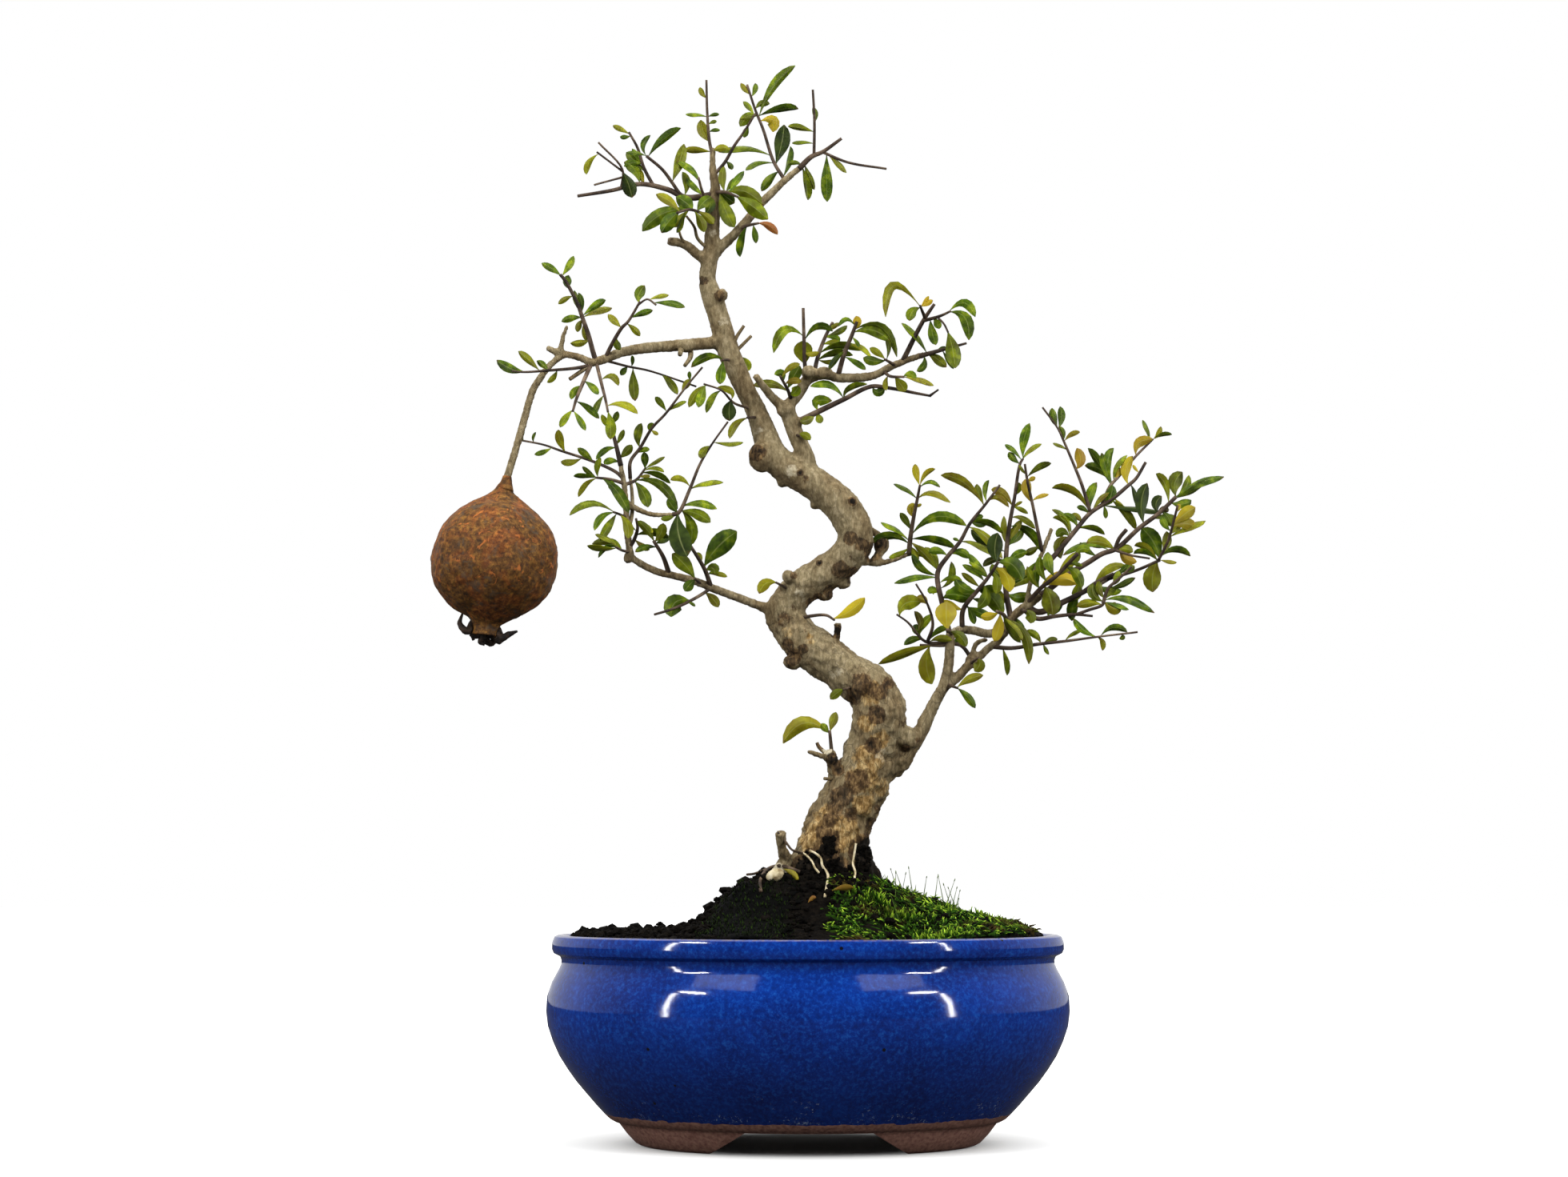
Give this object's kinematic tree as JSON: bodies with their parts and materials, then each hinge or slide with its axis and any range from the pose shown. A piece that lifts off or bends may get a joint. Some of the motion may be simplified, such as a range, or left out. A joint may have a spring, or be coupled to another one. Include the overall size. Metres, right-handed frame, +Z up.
{
  "type": "pomegranate bonsai in a pot",
  "caption": "Windswept pomegranate bonsai with one dried hanging fruit, sparse leafy sprays and mossed soil, in an oval glazed stoneware pot on low clay feet.",
  "frame": {"origin": "bottom centre of the whole object's box, on the surface its feet stand on", "axes": "+X to the right seen from the front, +Y to the back, +Z up"},
  "size_m": [0.3502, 0.184, 0.4829],
  "materials": {
    "glazed_stoneware": "glossy cobalt glaze over brown stoneware, feet left unglazed",
    "screen_plastic": "moulded black mesh",
    "potting_soil": "dark crumbly potting soil",
    "green_moss": "bright soft cushion moss",
    "dark_moss": "low dark moss film",
    "bark": "grey-brown scaly bark",
    "dried_fruit": "dry mottled leathery rind",
    "leaves": "thin smooth leaves, yellow-green to olive"
  },
  "bodies": {
    "root": {"pot": "glazed_stoneware", "drain_screen_left": "screen_plastic", "drain_screen_right": "screen_plastic", "soil": "potting_soil", "moss_cushion": "green_moss", "moss_film": "dark_moss", "wood": "bark", "fruit": "dried_fruit", "spray_crown_left": "leaves", "spray_crown_heart": "leaves", "spray_crown_tip": "leaves", "spray_crown_cross": "leaves", "spray_crown_top": "leaves", "spray_crown_right": "leaves", "spray_crown_front": "leaves", "spray_left_whorl": "leaves", "spray_left_pair": "leaves", "spray_left_under": "leaves", "spray_left_hang": "leaves", "spray_left_far": "leaves", "spray_left_thread": "leaves", "spray_dark_twig": "leaves", "spray_leader_tuft": "leaves", "spray_stem_top": "leaves", "spray_stem_left": "leaves", "spray_stem_whorl": "leaves", "spray_stem_mid": "leaves", "spray_stem_foot": "leaves", "spray_stem_right": "leaves", "spray_low_right": "leaves", "spray_inner_tip": "leaves", "spray_arm_fork": "leaves", "spray_arm_mid": "leaves", "spray_fork_left": "leaves", "spray_fork_square": "leaves", "spray_fork_twig": "leaves", "spray_fork_yellow": "leaves", "spray_arm_under_right": "leaves", "spray_arm_up": "leaves", "spray_arm_end": "leaves", "spray_arm_long": "leaves", "spray_side_tip": "leaves", "spray_right_shoot": "leaves", "spray_elbow_left": "leaves", "spray_elbow_behind": "leaves", "spray_low_thread": "leaves", "spray_heart_low": "leaves", "spray_heart_mid": "leaves", "spray_spire": "leaves", "spray_spire_pair": "leaves", "spray_stub_twig": "leaves", "spray_high_right": "leaves", "spray_far_right": "leaves", "spray_right_low": "leaves", "spray_right_thread": "leaves"}
  },
  "joints": []
}
